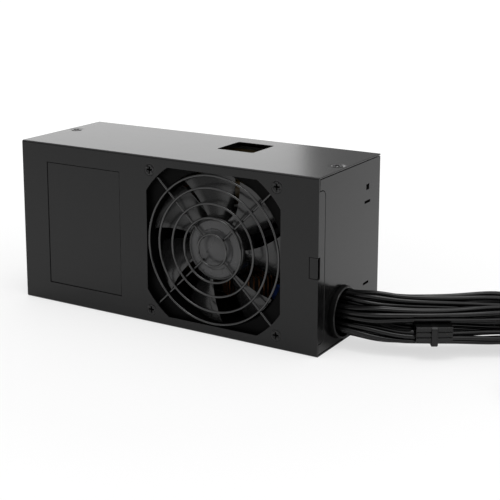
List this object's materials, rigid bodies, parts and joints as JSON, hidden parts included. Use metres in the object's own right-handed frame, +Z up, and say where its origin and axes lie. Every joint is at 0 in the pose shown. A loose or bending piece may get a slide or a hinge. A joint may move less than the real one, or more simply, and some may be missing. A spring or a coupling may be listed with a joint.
{
  "type": "power supply unit",
  "caption": "Slim sheet-metal computer power supply: cooling fan behind a wire grille in its wide face, mains inlet and rocker switch on one end, corded plugs on the other.",
  "frame": {"origin": "centre of the case's bottom face as the case stands on its 175 by 65 mm side", "axes": "+X along the case to the end the cords leave, -Y out of the fan face, +Z up"},
  "size_m": [0.3972, 0.0906, 0.085],
  "materials": {
    "case_coat": "fine-textured black powder coat, satin",
    "grille_steel": "black plated wire, glossy",
    "screw_black": "black oxide, satin",
    "black_plastic": "moulded black plastic, satin",
    "connector_nylon": "moulded black nylon, satin",
    "cable_pvc": "soft black PVC insulation, semi-gloss",
    "board_laminate": "tan paper laminate with solder mask, satin",
    "aluminium": "extruded, satin",
    "steel": "bright zinc, satin",
    "brass": "stamped, satin",
    "copper": "enamelled copper wire, glossy",
    "ferrite": "sintered, matte",
    "yellow_tape": "polyester tape, satin",
    "capacitor_sleeve": "shrink sleeve, glossy",
    "blue_epoxy": "dipped epoxy, glossy",
    "film_sheet": "translucent film, satin"
  },
  "bodies": {
    "case": {"ac_inlet": "black_plastic", "base_shell": "case_coat", "board_screw_1": "steel", "board_screw_2": "steel", "board_screw_3": "steel", "board_screw_4": "steel", "bridge_rectifier": "black_plastic", "bulk_capacitor": "capacitor_sleeve", "cable_bushing": "black_plastic", "cable_tie": "connector_nylon", "case_screw_1": "screw_black", "case_screw_2": "screw_black", "case_screw_3": "screw_black", "case_screw_4": "screw_black", "cover_shell": "case_coat", "cpu_cable": "cable_pvc", "cpu_plug": "connector_nylon", "drive_cable_1": "cable_pvc", "drive_cable_1_end": "cable_pvc", "drive_cable_2": "cable_pvc", "drive_plug": "connector_nylon", "emi_choke": "copper", "fan_bearing": "brass", "fan_frame": "black_plastic", "fan_grille": "grille_steel", "fan_screw_1": "screw_black", "fan_screw_2": "screw_black", "fan_screw_3": "screw_black", "fan_screw_4": "screw_black", "fan_stator": "copper", "fuse": "film_sheet", "heatsink_primary": "aluminium", "heatsink_secondary": "aluminium", "inlet_pin_earth": "brass", "inlet_pin_live": "brass", "inlet_pin_neutral": "brass", "inline_connector": "connector_nylon", "insulation_sheet": "film_sheet", "main_board": "board_laminate", "main_cable_1": "cable_pvc", "main_cable_2": "cable_pvc", "main_cable_3": "cable_pvc", "main_plug_20": "connector_nylon", "main_plug_4": "connector_nylon", "output_capacitor_1": "blue_epoxy", "output_capacitor_2": "capacitor_sleeve", "output_choke": "copper", "pfc_choke": "copper", "power_transistor": "black_plastic", "sata_plug": "connector_nylon", "standby_transformer": "yellow_tape", "switch_housing": "black_plastic", "transformer_core": "ferrite", "transformer_winding": "yellow_tape", "x_capacitor": "yellow_tape", "y_capacitor": "blue_epoxy"},
    "fan": {"fan_rotor": "black_plastic", "fan_shaft": "steel", "fan_magnet": "ferrite"},
    "rocker": {"switch_rocker": "black_plastic"}
  },
  "joints": [
    {"name": "fan_spin", "type": "hinge", "parent": "case", "child": "fan", "pos_m": [0.0298, -0.0237, 0.0425], "axis": [0, 1, 0], "continuous": true},
    {"name": "switch_rock", "type": "hinge", "parent": "case", "child": "rocker", "pos_m": [-0.0865, -0.016, 0.064], "axis": [0, 1, 0], "range_deg": [0, 20]}
  ]
}
